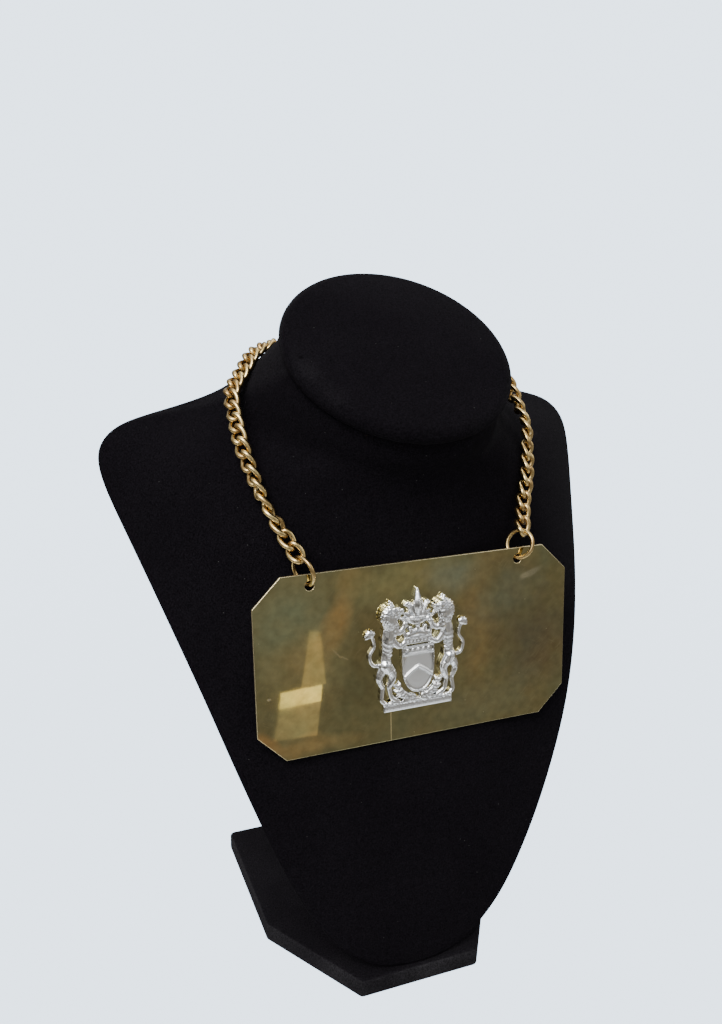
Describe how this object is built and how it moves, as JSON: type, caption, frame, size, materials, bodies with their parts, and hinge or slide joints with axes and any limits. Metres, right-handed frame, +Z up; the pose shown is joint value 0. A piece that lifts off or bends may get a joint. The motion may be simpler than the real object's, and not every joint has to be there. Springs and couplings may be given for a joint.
{
  "type": "gorget on a neck bust display stand",
  "caption": "Eight-sided brass breast plate with a pierced silver-coloured cast badge, hung on a curb chain from a black velvet neck bust with a base board.",
  "frame": {"origin": "centre of the bounding box's underside, on the base board's underside", "axes": "+Z up, the plate and the chest face -Y, X = 0 is the plane of symmetry, +X is the viewer's right seen from the front"},
  "size_m": [0.2498, 0.1276, 0.3273],
  "materials": {
    "black_velvet": "short-pile black velvet",
    "tarnished_brass": "polished long ago, now cloudy and tarnished, with fine scratches",
    "chain_brass": "worn bright on the links' outsides, darker in the recesses",
    "silver_casting": "bright silver-coloured plated casting with a satin shield"
  },
  "bodies": {
    "root": {"base_board": "black_velvet", "bust_form": "black_velvet", "neck_cap": "black_velvet", "back_strut": "black_velvet", "plate": "tarnished_brass", "badge": "silver_casting", "ring_left": "chain_brass", "ring_right": "chain_brass", "chain_01": "chain_brass", "chain_02": "chain_brass", "chain_03": "chain_brass", "chain_04": "chain_brass", "chain_05": "chain_brass", "chain_06": "chain_brass", "chain_07": "chain_brass", "chain_08": "chain_brass"}
  },
  "joints": []
}
